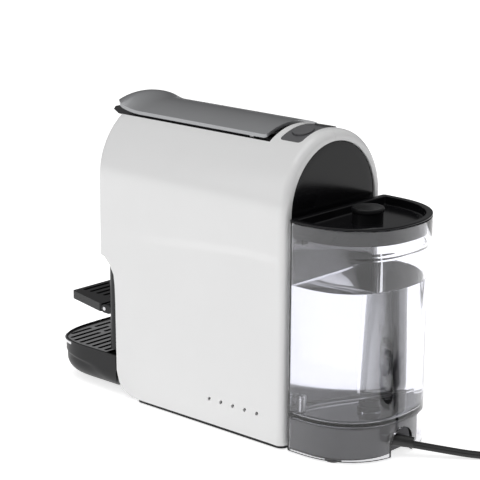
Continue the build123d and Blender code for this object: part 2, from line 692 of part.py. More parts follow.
with BuildPart() as outlet_screen:
    with BuildSketch(at_y(PLATE_REAR)):
        with Locations((0, BREW_AXIS_Z)):
            Circle(17.5)
    extrude(amount=-2)
    with BuildSketch(at_y(PLATE_REAR + 2)):
        with Locations((0, BREW_AXIS_Z)):
            with GridLocations(5, 5, 5, 5):
                Rectangle(3.4, 3.4)
    extrude(amount=-1.2, taper=30)
save(outlet_screen, "outlet_screen")

CAGE_FRONT = -46.0
CAGE_RADIUS = 21.5
with BuildPart() as capsule_cage:
    with BuildSketch(at_y(CAGE_FRONT)):
        with Locations((0, BREW_AXIS_Z)):
            Circle(CAGE_RADIUS)
    extrude(amount=-32)
    with BuildSketch(at_y(CAGE_FRONT)):
        with Locations((0, BREW_AXIS_Z)):
            Circle(18.7)
    extrude(amount=-27, taper=7, mode=Mode.SUBTRACT)
save(capsule_cage, "capsule_cage")

with BuildPart() as needles:
    with BuildSketch(at_y(CAGE_FRONT + 27)):
        with Locations((0, BREW_AXIS_Z)):
            with PolarLocations(7, 3):
                Circle(1.3)
    extrude(amount=5, taper=10)
save(needles, "needles")

# ---------------------------------------------------------------- brew frame and guide rods
FRAME_HALF = 40.0
with BuildPart() as brew_frame:
    with BuildSketch(at_y(-40)):
        with Locations((0, 182)):
            Rectangle(2 * FRAME_HALF, 44)
        with Locations((0, BREW_AXIS_Z)):
            Circle(CAGE_RADIUS + 0.1, mode=Mode.SUBTRACT)
        with Locations(*[(side * (SECTOR_X + SECTOR_THICK / 2), 199) for side in (-1, 1)]):
            Rectangle(SECTOR_THICK + 1.4, 16, mode=Mode.SUBTRACT)
    extrude(amount=3)
    for side in (-1, 1):
        with BuildSketch(at_x(side * (FRAME_HALF - 2))):
            with BuildLine():
                Polyline((-43, 110), (-43, 190), (20, 190), (5, 110), close=True)
            make_face()
        extrude(amount=side * 2)
save(brew_frame, "brew_frame")

with BuildPart() as guide_rods:
    with BuildSketch(at_y(-43)):
        with Locations((-RAIL_X, BREW_AXIS_Z), (RAIL_X, BREW_AXIS_Z)):
            Circle(RAIL_RADIUS)
    extrude(amount=49)
save(guide_rods, "guide_rods")

# ---------------------------------------------------------------- brew head and spout
HEAD_FRONT = -98.0
HEAD_SKIN = 2.5
HOOD_HALF = 24.0
HOOD_TOP = 172.0
with BuildPart() as brew_head:
    fascia = arch_face(HALF_WIDTH - SHELL_WALL - 0.3, OVERHANG_Z)
    extrude(on(fascia, at_y(HEAD_FRONT)), amount=-HEAD_SKIN)
    with BuildSketch(at_z(OVERHANG_Z)):
        with Locations((0, (HEAD_FRONT - 79) / 2)):
            Rectangle(2 * (HALF_WIDTH - SHELL_WALL - 0.3), -79 - HEAD_FRONT)
    extrude(amount=2)
    with BuildSketch(at_x(-HOOD_HALF)):
        with BuildLine():
            Polyline((HEAD_FRONT, HOOD_TOP), (-112, HOOD_TOP), (-130, 154), (-131, 130), (HEAD_FRONT, 127),
                     close=True)
        make_face()
    extrude(amount=2 * HOOD_HALF)
    fillet(brew_head.edges().filter_by(Axis.X).filter_by_position(Axis.Y, -131, -105), 5)
    with BuildSketch(at_x(-HOOD_HALF + HEAD_SKIN)):
        with BuildLine():
            Polyline((HEAD_FRONT + 5, HOOD_TOP - 2.5), (-111, HOOD_TOP - 2.5), (-127.3, 153), (-128.3, 120),
                     (HEAD_FRONT - 0.1, 120), (HEAD_FRONT - 0.1, 148), (HEAD_FRONT + 5, 148), close=True)
        make_face()
    extrude(amount=2 * (HOOD_HALF - HEAD_SKIN), mode=Mode.SUBTRACT)
    with BuildSketch(at_y(HEAD_FRONT - 1)):
        with Locations((0, SHELL_TOP)):
            Rectangle(2 * WELL_HALF + 0.8, 2 * (SHELL_TOP - WELL_FLOOR) + 0.6)
    extrude(amount=-10, mode=Mode.SUBTRACT)
save(brew_head, "brew_head")

SPOUT_Y = -116.0
SPOUT_BOTTOM = 124.0
CHANNEL_Z = 150.0
with BuildPart() as coffee_spout:
    with BuildSketch(at_z(CHANNEL_Z)):
        with Locations((0, (-122 - 64) / 2)):
            Rectangle(20, 58)
    extrude(amount=7)
    with BuildSketch(at_z(CHANNEL_Z + 1.6)):
        with Locations((0, (-120.4 - 62) / 2)):
            Rectangle(16.8, 58.4)
    extrude(amount=13, mode=Mode.SUBTRACT)
    with BuildSketch(at_z(CHANNEL_Z)):
        with Locations((0, SPOUT_Y)):
            Circle(6)
    extrude(amount=SPOUT_BOTTOM - CHANNEL_Z, taper=2)
    with BuildSketch(at_z(SPOUT_BOTTOM)):
        with Locations((0, SPOUT_Y)):
            Circle(2.6)
    extrude(amount=CHANNEL_Z + 2 - SPOUT_BOTTOM, mode=Mode.SUBTRACT)
save(coffee_spout, "coffee_spout")

# ---------------------------------------------------------------- thermoblock, pump, flow meter, hoses
BLOCK_FRONT = CAGE_FRONT + 32.2
BLOCK_REAR = 16.0
PUMP_Y = 45.0
METER_Y = 70.0
with BuildPart() as thermoblock:
    with BuildSketch(at_z(162)):
        with Locations((0, (BLOCK_FRONT + BLOCK_REAR) / 2)):
            RectangleRounded(40, BLOCK_REAR - BLOCK_FRONT, 3)
    extrude(amount=41)
    with BuildSketch(at_y(BLOCK_REAR)):
        with Locations((0, 170), (0, 190)):
            Circle(3)
    extrude(amount=-6)
save(thermoblock, "thermoblock")

with BuildPart() as pump:
    with BuildSketch(at_z(48)):
        with Locations((0, PUMP_Y)):
            Circle(17)
    extrude(amount=72)
    with BuildSketch(at_z(42)):
        with Locations((0, PUMP_Y)):
            Circle(3)
    extrude(amount=84)
save(pump, "pump")

with BuildPart() as pump_mounts:
    for mount_z in (51.0, 105.0):
        with BuildSketch(at_z(mount_z)):
            with Locations((0, PUMP_Y)):
                Circle(23)
                Circle(17.05, mode=Mode.SUBTRACT)
        extrude(amount=6)
save(pump_mounts, "pump_mounts")

with BuildPart() as flow_meter:
    with BuildSketch(at_z(SHELL_BOTTOM)):
        with Locations((0, METER_Y)):
            Circle(14)
    extrude(amount=16)
    with BuildSketch(at_z(SHELL_BOTTOM + 16)):
        with Locations((0, METER_Y - 8)):
            Circle(3)
    extrude(amount=3)
save(flow_meter, "flow_meter")


def hose(points, radius, bend):
    """Round hose along straight runs joined by bends."""
    with BuildPart() as tube:
        with BuildLine():
            route = FilletPolyline(*points, radius=bend)
        with BuildSketch(Plane(origin=route @ 0, z_dir=route % 0)):
            Circle(radius)
        sweep()
    return tube


METER_TOP = SHELL_BOTTOM + 19
suction_hose = hose(
    [(0, TANK_AXIS_Y, NIPPLE_BOTTOM), (0, TANK_AXIS_Y, HOSE_Z), (0, METER_Y + 14.4, HOSE_Z)],
    HOSE_RADIUS, 4)
save(suction_hose, "suction_hose")

feed_hose = hose(
    [(0, METER_Y - 8, METER_TOP), (0, METER_Y - 8, METER_TOP + 10), (0, PUMP_Y, METER_TOP + 10),
     (0, PUMP_Y, 42)], HOSE_RADIUS, 4)
save(feed_hose, "feed_hose")

pressure_tube = hose([(0, PUMP_Y, 126), (0, PUMP_Y, 170), (0, BLOCK_REAR + 6, 170)], 2, 12)
save(pressure_tube, "pressure_tube")

# ---------------------------------------------------------------- boards
BOARD_X = -44.0
with BuildPart() as control_board:
    with BuildSketch(at_x(BOARD_X)):
        with Locations((44, 110)):
            Rectangle(56, 84)
    extrude(amount=1.6)
save(control_board, "control_board")

with BuildPart() as board_parts:
    with BuildSketch(at_x(BOARD_X + 1.6)):
        with Locations((30, 90)):
            Rectangle(16, 20)
        with Locations((55, 92)):
            Circle(6)
        with Locations((30, 130)):
            Rectangle(14, 12)
        with Locations((56, 128)):
            Rectangle(20, 16)
    extrude(amount=12)
save(board_parts, "board_parts")

PANEL_MID = (PANEL_FRONT + PANEL_REAR) / 2
PANEL_RADIUS = HALF_WIDTH - 0.3
BUTTON_TILT = degrees(asin(BUTTON_X / PANEL_RADIUS))
SWITCH_HEIGHT = 2.0
with BuildPart() as button_board:
    with BuildSketch(at_z(212)):
        with Locations((0, PANEL_MID)):
            Rectangle(52, 16)
    extrude(amount=1.6)
    with BuildSketch(at_z(213.6)):
        with Locations((-10.4, PANEL_MID), (10.4, PANEL_MID)):
            Rectangle(6, 6)
    extrude(amount=SWITCH_HEIGHT)
save(button_board, "button_board")


def button_plane(side, distance):
    """Plane across one button's axis, which points out of the arch."""
    tilt = radians(BUTTON_TILT) * side
    outward = Vector(sin(tilt), 0, cos(tilt))
    return Plane(origin=Vector(0, PANEL_MID, ARCH_Z) + outward * distance, x_dir=(0, 1, 0), z_dir=outward)


with BuildPart() as button_panel:
    with BuildSketch(at_z(SHELL_TOP - 20)):
        with Locations((0, PANEL_MID)):
            RectangleRounded(2 * PANEL_HALF, PANEL_REAR - PANEL_FRONT - 0.6, 2.7)
    extrude(amount=30)
    with BuildSketch(at_y(PANEL_REAR)):
        with Locations((0, ARCH_Z)):
            Circle(PANEL_RADIUS)
            Circle(PANEL_RADIUS - 2.3, mode=Mode.SUBTRACT)
    extrude(amount=PANEL_REAR - PANEL_FRONT, mode=Mode.INTERSECT)
    for side in (-1, 1):
        with BuildSketch(button_plane(side, 45)):
            Circle(BUTTON_RADIUS + 0.3)
        extrude(amount=20, mode=Mode.SUBTRACT)
save(button_panel, "button_panel")

for side, button_name in ((1, "button_long"), (-1, "button_short")):
    with BuildPart() as button:
        with BuildSketch(button_plane(side, PANEL_RADIUS - 4)):
            Circle(BUTTON_RADIUS)
        extrude(amount=4.9)
        fillet(button.faces().sort_by(Axis.Z)[-1].edges(), 0.5)
        with BuildSketch(button_plane(side, PANEL_RADIUS - 11)):
            Circle(2)
        extrude(amount=7.5)
    save(button, button_name)

# ---------------------------------------------------------------- mains lead
CORD_ROUTE = [(-2.5, 166, 10.5), (-14.8, 182.6, 7.5), (-31.5, 203.8, 3.6), (-51.2, 227.7, 3.5), (-70.3, 249.9, 3.5)]
TAIL_ROUTE = [(-44.8, 317.6, 10.5), (-29.2, 320.1, 12.4), (-14, 315.5, 14.4), (-2.3, 305.1, 16.3),
              (4.7, 288.1, 18.5), (3.7, 272.2, 20.5), (-4.6, 258.1, 22.5), (-17.9, 249.5, 24.4),
              (-33.6, 247.4, 26.3)]
COIL_X = -38.4
COIL_Y = 277.2
COIL_OUTER = 46.0
COIL_INNER = 28.0
COIL_HEIGHT = 14.2
GLAND_LENGTH = 20.0
PLUG_LENGTH = 34.0


def corner_radii(route):
    """Largest bend radii that the runs beside each corner leave room for."""
    radii = []
    for before, corner, after in zip(route, route[1:], route[2:]):
        arriving = Vector(*corner) - Vector(*before)
        leaving = Vector(*after) - Vector(*corner)
        half_turn = radians(arriving.get_angle(leaving)) / 2
        radii.append(0.45 * min(arriving.length, leaving.length) / tan(half_turn))
    return radii


def cord_tube(route):
    """Round lead along straight runs joined by tangent arcs."""
    radii = corner_radii(route)
    with BuildPart() as tube:
        with BuildLine():
            path = FilletPolyline(*route, radius=radii)
        with BuildSketch(Plane(origin=path @ 0, z_dir=path % 0)):
            Circle(CORD_DIAMETER / 2)
        sweep()
    print("lead radii", [round(radius) for radius in radii], "length", round(path.length, 1),
          "volume ratio", round(tube.part.volume / (path.length * pi * CORD_DIAMETER ** 2 / 4), 4))
    return tube


cord_start = Vector(*CORD_ROUTE[0])
cord_heading = (Vector(*CORD_ROUTE[1]) - cord_start).normalized()
with BuildPart() as cord_gland:
    with BuildSketch(Plane(origin=cord_start - cord_heading * GLAND_LENGTH, z_dir=cord_heading)):
        Circle(5)
    with BuildSketch(Plane(origin=cord_start, z_dir=cord_heading)):
        Circle(4)
    loft()
save(cord_gland, "cord_gland")

mains_cord = cord_tube(CORD_ROUTE)
save(mains_cord, "mains_cord")

with BuildPart() as cord_coil:
    with BuildSketch(at_z(0)):
        with Locations((COIL_X, COIL_Y)):
            Circle(COIL_OUTER)
            Circle(COIL_INNER, mode=Mode.SUBTRACT)
    extrude(amount=COIL_HEIGHT)
    chamfer(cord_coil.edges(), 2)
save(cord_coil, "cord_coil")

cord_tail = cord_tube(TAIL_ROUTE)
save(cord_tail, "cord_tail")

plug_start = Vector(*TAIL_ROUTE[-1])
tail_run = plug_start - Vector(*TAIL_ROUTE[-2])
plug_heading = Vector(tail_run.X, tail_run.Y, 0).normalized()
plug_across = plug_heading.cross(Vector(0, 0, 1))


def plug_plane(distance):
    return Plane(origin=plug_start + plug_heading * distance, x_dir=plug_across, z_dir=plug_heading)


with BuildPart() as plug_body:
    with BuildSketch(plug_plane(0)):
        RectangleRounded(10, 9, 3)
    with BuildSketch(plug_plane(PLUG_LENGTH)):
        RectangleRounded(26, 23.6, 6)
    loft()
save(plug_body, "plug_body")

with BuildPart() as plug_blades:
    with BuildSketch(plug_plane(PLUG_LENGTH)):
        with Locations((-6.35, 2), (6.35, 2)):
            Rectangle(1.5, 6.35)
    extrude(amount=17)
    with BuildSketch(plug_plane(PLUG_LENGTH)):
        with Locations((0, -6)):
            Circle(2.4)
    extrude(amount=21)
save(plug_blades, "plug_blades")
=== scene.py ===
from math import copysign, cos, hypot, pi, radians, sin, sqrt

import bmesh
import bpy
from mathutils import Matrix, Vector


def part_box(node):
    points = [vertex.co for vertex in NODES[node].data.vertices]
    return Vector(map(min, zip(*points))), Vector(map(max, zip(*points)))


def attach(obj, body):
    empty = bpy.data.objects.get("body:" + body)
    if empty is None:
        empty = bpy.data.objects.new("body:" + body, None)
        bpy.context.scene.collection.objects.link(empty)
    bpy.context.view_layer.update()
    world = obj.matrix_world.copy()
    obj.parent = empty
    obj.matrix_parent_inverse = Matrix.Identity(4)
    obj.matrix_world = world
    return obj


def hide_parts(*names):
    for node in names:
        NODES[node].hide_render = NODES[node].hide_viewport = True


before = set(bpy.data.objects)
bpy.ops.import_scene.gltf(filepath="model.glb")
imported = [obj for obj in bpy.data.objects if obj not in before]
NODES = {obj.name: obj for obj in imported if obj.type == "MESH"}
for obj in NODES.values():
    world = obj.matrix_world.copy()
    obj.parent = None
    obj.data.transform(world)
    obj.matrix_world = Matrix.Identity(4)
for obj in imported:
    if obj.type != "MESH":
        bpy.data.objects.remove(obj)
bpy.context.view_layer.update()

# Capsule coffee machine. Shapes are written in millimetres of the row frame and scaled once, in build().
MM = 0.001
SCENE = bpy.context.scene


def box_mm(node):
    """Lowest and highest corner of a CAD node, in millimetres."""
    low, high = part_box(node)
    return Vector(low) / MM, Vector(high) / MM


# ---------------------------------------------------------------- materials
def nodes_of(name):
    material = bpy.data.materials.new(name)
    material.use_nodes = True
    tree = material.node_tree
    return material, tree, tree.nodes["Principled BSDF"]


def noise(tree, scale, detail=3.0, stretch=(1, 1, 1)):
    """Noise over the object's own metres."""
    where = tree.nodes.new("ShaderNodeTexCoord")
    mapping = tree.nodes.new("ShaderNodeMapping")
    mapping.inputs["Scale"].default_value = stretch
    pattern = tree.nodes.new("ShaderNodeTexNoise")
    pattern.inputs["Scale"].default_value = scale
    pattern.inputs["Detail"].default_value = detail
    tree.links.new(where.outputs["Object"], mapping.inputs["Vector"])
    tree.links.new(mapping.outputs["Vector"], pattern.inputs["Vector"])
    return pattern.outputs["Fac"]


def vary_roughness(tree, shader, roughness, spread, scale):
    band = tree.nodes.new("ShaderNodeMapRange")
    band.inputs["To Min"].default_value = roughness - spread
    band.inputs["To Max"].default_value = roughness + spread
    tree.links.new(noise(tree, scale), band.inputs["Value"])
    tree.links.new(band.outputs["Result"], shader.inputs["Roughness"])


def vary_colour(tree, shader, colour, spread, scale):
    ramp = tree.nodes.new("ShaderNodeValToRGB")
    ramp.color_ramp.elements[0].position = 0.35
    ramp.color_ramp.elements[1].position = 0.65
    ramp.color_ramp.elements[0].color = [c * (1 - spread) for c in colour] + [1]
    ramp.color_ramp.elements[1].color = [min(1, c * (1 + spread)) for c in colour] + [1]
    tree.links.new(noise(tree, scale), ramp.inputs["Fac"])
    tree.links.new(ramp.outputs["Color"], shader.inputs["Base Color"])


def grain(tree, shader, scale, distance, stretch=(1, 1, 1)):
    bump = tree.nodes.new("ShaderNodeBump")
    bump.inputs["Strength"].default_value = 0.5
    bump.inputs["Distance"].default_value = distance
    tree.links.new(noise(tree, scale, 2.0, stretch), bump.inputs["Height"])
    tree.links.new(bump.outputs["Normal"], shader.inputs["Normal"])


def moulded(name, colour, roughness, spread=0.03, texture=0.00002, texture_scale=1800, coat=0.0, metallic=0.0,
            tint=0.05, stretch=(1, 1, 1), specular=0.5):
    """Moulded, painted or cast finish with slight drift in tone and gloss and a fine surface texture."""
    material, tree, shader = nodes_of(name)
    shader.inputs["Metallic"].default_value = metallic
    shader.inputs["Coat Weight"].default_value = coat
    shader.inputs["Coat Roughness"].default_value = 0.08
    shader.inputs["Specular IOR Level"].default_value = specular
    vary_colour(tree, shader, colour, tint, 25)
    vary_roughness(tree, shader, roughness, spread, 40)
    grain(tree, shader, texture_scale, texture, stretch)
    return material


def clear(name, colour, ior, roughness):
    material, tree, shader = nodes_of(name)
    shader.inputs["Transmission Weight"].default_value = 1.0
    shader.inputs["IOR"].default_value = ior
    vary_colour(tree, shader, colour, 0.004, 12)
    vary_roughness(tree, shader, roughness, roughness * 0.4, 30)
    grain(tree, shader, 60, 0.00001)
    return material


SHELL_WHITE = moulded("shell_white", (0.80, 0.80, 0.80), 0.24, 0.02, 0.000004, 900, coat=0.25, tint=0.006)
GLOSS_BLACK = moulded("gloss_black", (0.006, 0.006, 0.007), 0.16, 0.03, 0.000003, 700, specular=0.22)
SATIN_BLACK = moulded("satin_black", (0.010, 0.010, 0.011), 0.38, 0.05, 0.00002, 2200, specular=0.25)
MATTE_BLACK = moulded("matte_black", (0.009, 0.009, 0.010), 0.55, 0.05, 0.00003, 2600, specular=0.25)
SILVER_PAINT = moulded("silver_paint", (0.36, 0.365, 0.375), 0.30, 0.03, 0.000006, 3000, metallic=0.85,
                        tint=0.02)
PANEL_GREY = moulded("panel_grey", (0.085, 0.085, 0.09), 0.36, 0.04, 0.00001, 2600)
DOCK_GREY = moulded("dock_grey", (0.055, 0.055, 0.06), 0.45, 0.05, 0.00002, 2200)
CHROME = moulded("grille_chrome", (0.62, 0.62, 0.63), 0.2, 0.05, 0.000006, 900, metallic=1.0, tint=0.02)
STEEL = moulded("machined_steel", (0.55, 0.55, 0.56), 0.28, 0.06, 0.00001, 700, metallic=1.0,
                 stretch=(1, 1, 14))
CAST = moulded("cast_aluminium", (0.6, 0.6, 0.62), 0.42, 0.06, 0.00004, 900, metallic=1.0)
RUBBER = moulded("cord_rubber", (0.012, 0.012, 0.012), 0.42, 0.06, 0.00002, 1500)
SILICONE = moulded("silicone_hose", (0.55, 0.55, 0.53), 0.4, 0.05, 0.00002, 900)
BOARD = moulded("solder_mask", (0.015, 0.12, 0.05), 0.3, 0.05, 0.00002, 1200)
NICKEL = moulded("plated_blade", (0.62, 0.61, 0.57), 0.22, 0.05, 0.000006, 900, metallic=1.0)
CLEAR = clear("clear_plastic", (0.955, 0.955, 0.985), 1.49, 0.012)
WATER = clear("water", (0.975, 0.98, 0.995), 1.333, 0.004)


# ---------------------------------------------------------------- mesh helpers
def build(name, verts, faces, material, body, sharp=32):
    """Closed mesh piece from millimetre points, riding on a body."""
    mesh = bpy.data.meshes.new(name)
    mesh.from_pydata([Vector(v) * MM for v in verts], [], faces)
    mesh.validate()
    obj = bpy.data.objects.new(name, mesh)
    SCENE.collection.objects.link(obj)
    mesh.materials.append(material)
    face_outward(mesh)
    shade(mesh, sharp)
    if body:
        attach(obj, body)
    return obj


def face_outward(mesh):
    work = bmesh.new()
    work.from_mesh(mesh)
    bmesh.ops.recalc_face_normals(work, faces=work.faces)
    work.to_mesh(mesh)
    work.free()


def shade(mesh, sharp):
    mesh.polygons.foreach_set("use_smooth", [True] * len(mesh.polygons))
    mesh.set_sharp_from_angle(angle=radians(sharp))


def bevel(obj, width, segments=2, limit=50):
    modifier = obj.modifiers.new("edge", "BEVEL")
    modifier.width = width * MM
    modifier.segments = segments
    modifier.limit_method = "ANGLE"
    modifier.angle_limit = radians(limit)
    modifier.harden_normals = False


def carve(obj, cutters):
    """Cuts closed tools out of a piece, then discards the tools."""
    for cutter in cutters:
        modifier = obj.modifiers.new("cut", "BOOLEAN")
        modifier.operation = "DIFFERENCE"
        modifier.solver = "EXACT"
        modifier.object = cutter
    bpy.context.view_layer.update()
    graph = bpy.context.evaluated_depsgraph_get()
    mesh = bpy.data.meshes.new_from_object(obj.evaluated_get(graph))
    obj.modifiers.clear()
    obj.data = mesh
    for cutter in cutters:
        bpy.data.objects.remove(cutter)


def stack(rings, close_start=True, close_end=True):
    """Faces that join rings of equal length one after another."""
    count = len(rings[0])
    verts = [point for ring in rings for point in ring]
    faces = []
    for level in range(len(rings) - 1):
        base = level * count
        for step in range(count):
            after = (step + 1) % count
            faces.append((base + step, base + after, base + count + after, base + count + step))
    if close_start:
        faces.append(tuple(reversed(range(count))))
    if close_end:
        faces.append(tuple(range(len(verts) - count, len(verts))))
    return verts, faces


def soften(corners, steps=4):
    """Profile with its corners rounded. Each corner is (values..., radius)."""
    points = []
    for index, corner in enumerate(corners):
        here = Vector(corner[:-1])
        if corner[-1] == 0 or index in (0, len(corners) - 1):
            points.append(here)
            continue
        back = Vector(corners[index - 1][:-1]) - here
        onward = Vector(corners[index + 1][:-1]) - here
        start = here + back.normalized() * min(corner[-1], 0.49 * back.length)
        end = here + onward.normalized() * min(corner[-1], 0.49 * onward.length)
        for step in range(steps + 1):
            t = step / steps
            points.append(start * (1 - t) ** 2 + here * 2 * t * (1 - t) + end * t * t)
    return points


def ramp(value, low, high):
    """0 below low, 1 above high, smooth between."""
    t = min(1.0, max(0.0, (value - low) / (high - low)))
    return t * t * (3 - 2 * t)


def table(pairs, value):
    """Straight-line lookup in a short list of (in, out) pairs."""
    if value <= pairs[0][0]:
        return pairs[0][1]
    for (a, out_a), (b, out_b) in zip(pairs, pairs[1:]):
        if value <= b:
            return out_a + (out_b - out_a) * (value - a) / (b - a)
    return pairs[-1][1]


def prism(name, outline, low, high, axis):
    """Closed cutting tool: an outline in two directions, extruded along the third."""
    def place(a, b, depth):
        if axis == "X":
            return (depth, a, b)
        if axis == "Y":
            return (a, depth, b)
        return (a, b, depth)
    rings = [[place(a, b, depth) for a, b in outline] for depth in (low, high)]
    verts, faces = stack(rings)
    return build(name, verts, faces, SATIN_BLACK, None)


def rounded_rectangle(half_a, half_b, centre_a, centre_b, radius, steps=6):
    points = []
    for quarter in range(4):
        sign_a = 1 if quarter in (0, 3) else -1
        sign_b = 1 if quarter in (0, 1) else -1
        for step in range(steps + 1):
            angle = (quarter + step / steps) * pi / 2
            points.append((centre_a + sign_a * (half_a - radius) + radius * cos(angle),
                           centre_b + sign_b * (half_b - radius) + radius * sin(angle)))
    return points


# ---------------------------------------------------------------- shell halves
SHELL_LOW, SHELL_HIGH = box_mm("right_shell")
HALF_WIDTH = SHELL_HIGH.x
SHELL_TOP = SHELL_HIGH.z
SHELL_REAR = SHELL_HIGH.y
SHELL_FRONT = SHELL_LOW.y
ARCH_Z = SHELL_TOP - HALF_WIDTH
RIM_WIDTH = 8.3
WALL = 2.5
BRIDGE_FRONT = 53.9
PANEL_LOW, PANEL_HIGH = box_mm("button_panel")
WELL_HALF = 30.7
SEAM_GAP = 0.09
FRONT_EDGE = [(3, -63), (3.6, -67.5), (5.5, -72), (7.8, -76.1), (13.3, -80), (21.8, -82.5), (79.2, -83.2),
              (91.2, -83.8), (99.2, -84.8), (106.4, -89), (112.2, -95), (113.4, -99)]
WAIST = [(-86.7, 130.1), (-44, 134.7), (8, 139.7), (48, 142.6), (86.5, 142.4)]


def waist_recess(y, z):
    """How far the side sinks in below its soft waist line, which fades out towards the front."""
    line = table(WAIST, y)
    depth = 1.15 * ramp(y, -100, 20) * (1 - ramp(y, 79, 87))
    below = ramp(line - z, -4.5, 4.0)
    flank = 1 - 0.55 * ramp(line - z, 10, 110)
    return depth * below * flank


def shell_half(side, name, node):
    profile = [(-99, 1.9), (-99, 0.8), (-98.8, 0.25), (-98.2, 0)]
    profile += [(y, 0) for y in range(-94, 82, 4)] + [(84, 0)]
    turn = 6.0
    profile += [(SHELL_REAR - turn + turn * sin(a), turn - turn * cos(a))
                for a in (radians(10 + 80 * k / 8) for k in range(9))]
    profile += [(SHELL_REAR, RIM_WIDTH - 0.3), (SHELL_REAR - 0.3, RIM_WIDTH), (SHELL_REAR - 6, RIM_WIDTH),
                (SHELL_REAR - 6, WALL)]
    profile += [(y, WALL) for y in range(80, -98, -8)] + [(-98.6, WALL)]
    heights = [3, 3.4, 4.2, 5.5, 7.8, 10.5, 13.3, 17, 21.8] + list(range(28, 92, 8)) + [
        91.2, 95, 99.2, 103, 106.4]
    heights += [109.5, 112.2, 112.9, 113.4, 114.2] + [116 + 1.5 * k for k in range(25)] + [158, 164, 170]
    stations = [(z, None) for z in heights]
    last = 90 - SEAM_GAP / HALF_WIDTH * 180 / pi
    stations += [(ARCH_Z, 90 * k / 36) for k in range(36)] + [(ARCH_Z, last - 0.5), (ARCH_Z, last)]
    rings = []
    for z, turned in stations:
        ring = []
        front = table([(h, y) for h, y in FRONT_EDGE], z) if turned is None else SHELL_FRONT
        for y, inward in profile:
            if y < -55:
                y = front + (y - SHELL_FRONT) / (-55 - SHELL_FRONT) * (-55 - front)
            if turned is None:
                recess = waist_recess(y, z) if inward <= WALL else 0
                ring.append((side * (HALF_WIDTH - inward - recess), y, z))
            else:
                drop = 0.35 if turned == last and inward == 0 else 0
                radius = HALF_WIDTH - inward - drop
                ring.append((side * radius * cos(radians(turned)), y, ARCH_Z + radius * sin(radians(turned))))
        rings.append(ring)
    verts, faces = stack(rings)
    obj = build(name, verts, faces, SHELL_WHITE, "chassis")
    well = prism("well_cut", [(-WELL_HALF, SHELL_FRONT - 9), (WELL_HALF, SHELL_FRONT - 9),
                              (WELL_HALF, BRIDGE_FRONT), (-WELL_HALF, BRIDGE_FRONT)],
                 ARCH_Z + 25, SHELL_TOP + 9, "Z")
    panel_mid = (PANEL_LOW.y + PANEL_HIGH.y) / 2
    panel = prism("panel_cut", rounded_rectangle(27.3, 10, 0, panel_mid, 3), ARCH_Z + 25, SHELL_TOP + 9, "Z")
    cutters = [well, panel]
    for index in range(5):
        cutters.append(vent_tool(side, 17 + 11.95 * index, 22.3))
    carve(obj, cutters)
    shade(obj.data, 32)
    bevel(obj, 0.45, 2, 60)
    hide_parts(node)
    return obj


def vent_tool(side, y, z):
    """Leaning teardrop vent."""
    outline = []
    for step in range(20):
        angle = 2 * pi * step / 20
        reach = 1.25 + 0.95 * max(0.0, cos(angle - radians(52))) ** 3
        outline.append((y + reach * cos(angle), z + reach * sin(angle)))
    low, high = sorted((side * (HALF_WIDTH - 5), side * (HALF_WIDTH + 3)))
    return prism("vent_cut", outline, low, high, "X")


shell_half(1, "shell_right", "right_shell")
shell_half(-1, "shell_left", "left_shell")


# ---------------------------------------------------------------- rear panel
def arch_ring(half, bottom, inset, y, steps=48):
    points = [(half - inset, y, bottom + inset)]
    for step in range(steps + 1):
        angle = pi * step / steps
        points.append(((half - inset) * cos(angle), y, ARCH_Z + (half - inset) * sin(angle)))
    points.append((-half + inset, y, bottom + inset))
    return points


def rear_panel():
    low, high = box_mm("rear_panel")
    edge = soften([(0, low.y, 0), (0, high.y, 0.5), (6, high.y, 0)])
    rings = [arch_ring(high.x, low.z, inset, y) for inset, y in edge]
    verts, faces = stack(rings)
    obj = build("panel_rear", verts, faces, GLOSS_BLACK, "chassis")
    hose_hole = prism("hose_cut", [(5 * cos(pi * k / 12), 12 + 5 * sin(pi * k / 12)) for k in range(24)],
                      low.y - 3, high.y + 3, "Y")
    carve(obj, [hose_hole])
    shade(obj.data, 32)
    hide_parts("rear_panel")


rear_panel()

# ---------------------------------------------------------------- lever cover
LEVER_LOW, LEVER_HIGH = box_mm("lever_cover")
LEVER_HALF = LEVER_HIGH.x
LEVER_TAIL = LEVER_HIGH.y
LEVER_NOSE = LEVER_LOW.y
LEVER_CREST = SHELL_TOP + 1.0
BOW = 76.5
SKIN = 2.6


def lever_crest():
    """Points (y, z, lean) along the crest: straight, up into the scoop, over the nose."""
    scoop_radius, scoop_turn, nose_radius, nose_turn = 59.0, radians(17.7), 17.5, radians(71)
    path = [(LEVER_TAIL - t, LEVER_CREST, 0.0) for t in (0, 0.3, 0.8, 1.5, 2.3, 3.2)]
    path += [(y, LEVER_CREST, 0.0) for y in range(40, -80, -8)] + [(-80, LEVER_CREST, 0.0)]
    for step in range(1, 9):
        lean = scoop_turn * step / 8
        path.append((-80 - scoop_radius * sin(lean), LEVER_CREST + scoop_radius * (1 - cos(lean)), lean))
    top_y, top_z, _ = path[-1]
    centre_y = top_y - nose_radius * sin(scoop_turn)
    centre_z = top_z - nose_radius * cos(scoop_turn)
    for step in range(1, 19):
        lean = scoop_turn - nose_turn * step / 18
        path.append((centre_y + nose_radius * sin(lean), centre_z + nose_radius * cos(lean), lean))
    return path


def lever_width(y):
    from_tail = LEVER_TAIL - y
    from_nose = y - LEVER_NOSE
    if from_tail < 3:
        return LEVER_HALF - 3 + sqrt(max(0.0, 9 - (3 - from_tail) ** 2))
    if from_nose < 22:
        return LEVER_HALF - 22 + sqrt(max(0.0, 22**2 - (22 - from_nose) ** 2))
    return LEVER_HALF


